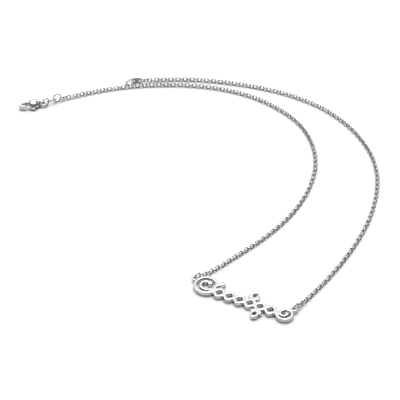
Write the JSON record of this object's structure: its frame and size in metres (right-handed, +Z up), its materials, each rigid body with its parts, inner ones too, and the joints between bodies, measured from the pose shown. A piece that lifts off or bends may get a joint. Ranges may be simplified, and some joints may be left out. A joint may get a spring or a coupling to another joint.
{
  "type": "nameplate necklace",
  "caption": "Fine cable chain necklace lying open, with a flat pierced nameplate of braid and scrolls, a lobster clasp with a sprung lever and an end ring.",
  "frame": {"origin": "centre of the nameplate's flat back, on the surface that the necklace lies on", "axes": "+X along the nameplate from its large volute to its small one, +Y to the nameplate's top, where the chains leave it, +Z up, out of the nameplate's front"},
  "size_m": [0.1411, 0.1199, 0.0034],
  "materials": {
    "cast_metal": "polished white metal",
    "ring_wire": "polished white metal wire",
    "chain_wire": "polished white metal chain, fine links"
  },
  "bodies": {
    "necklace": {"nameplate": "cast_metal", "jump_ring_left": "ring_wire", "jump_ring_right": "ring_wire", "chain_left": "chain_wire", "chain_right": "chain_wire", "back_ring": "ring_wire", "clasp_link": "ring_wire", "clasp_ring": "ring_wire", "clasp_body": "cast_metal", "clasp_rivet": "ring_wire", "end_tag": "cast_metal", "end_ring": "ring_wire"},
    "lever": {"clasp_lever": "cast_metal"}
  },
  "joints": [
    {"name": "lever_pivot", "type": "hinge", "parent": "necklace", "child": "lever", "pos_m": [-0.11442, 0.06366, 0.00095], "axis": [0, 0, -1], "range_deg": [0, 18], "stiffness_Nm_per_rad": 0.002, "springref_deg": -5.73}
  ]
}
